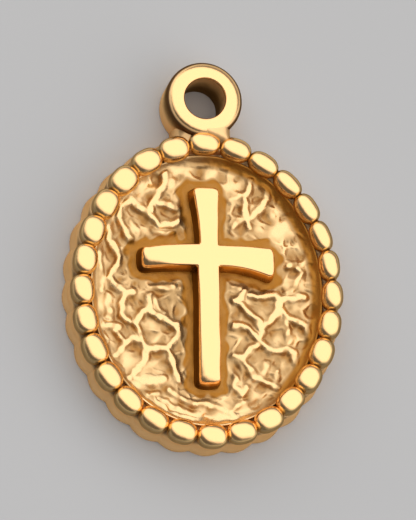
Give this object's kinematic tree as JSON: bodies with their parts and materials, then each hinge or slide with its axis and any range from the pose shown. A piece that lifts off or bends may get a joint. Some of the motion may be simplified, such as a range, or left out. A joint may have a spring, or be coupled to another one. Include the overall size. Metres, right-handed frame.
{
  "type": "cross charm",
  "caption": "Flat oval medal charm: raised flared cross in a groove on crackled ground, domed bead border, scalloped edge, thick round hanging ring.",
  "frame": {"origin": "centre of the oval on the flat back", "axes": "+Y towards the hanging ring, +Z out of the front, so the charm lies on its back"},
  "size_m": [0.0126, 0.0176, 0.0022],
  "materials": {
    "gold_plate": "polished gold plate on the beads, cross, ring and back, satin in the crackled ground"
  },
  "bodies": {
    "root": {"charm": "gold_plate"}
  },
  "joints": []
}
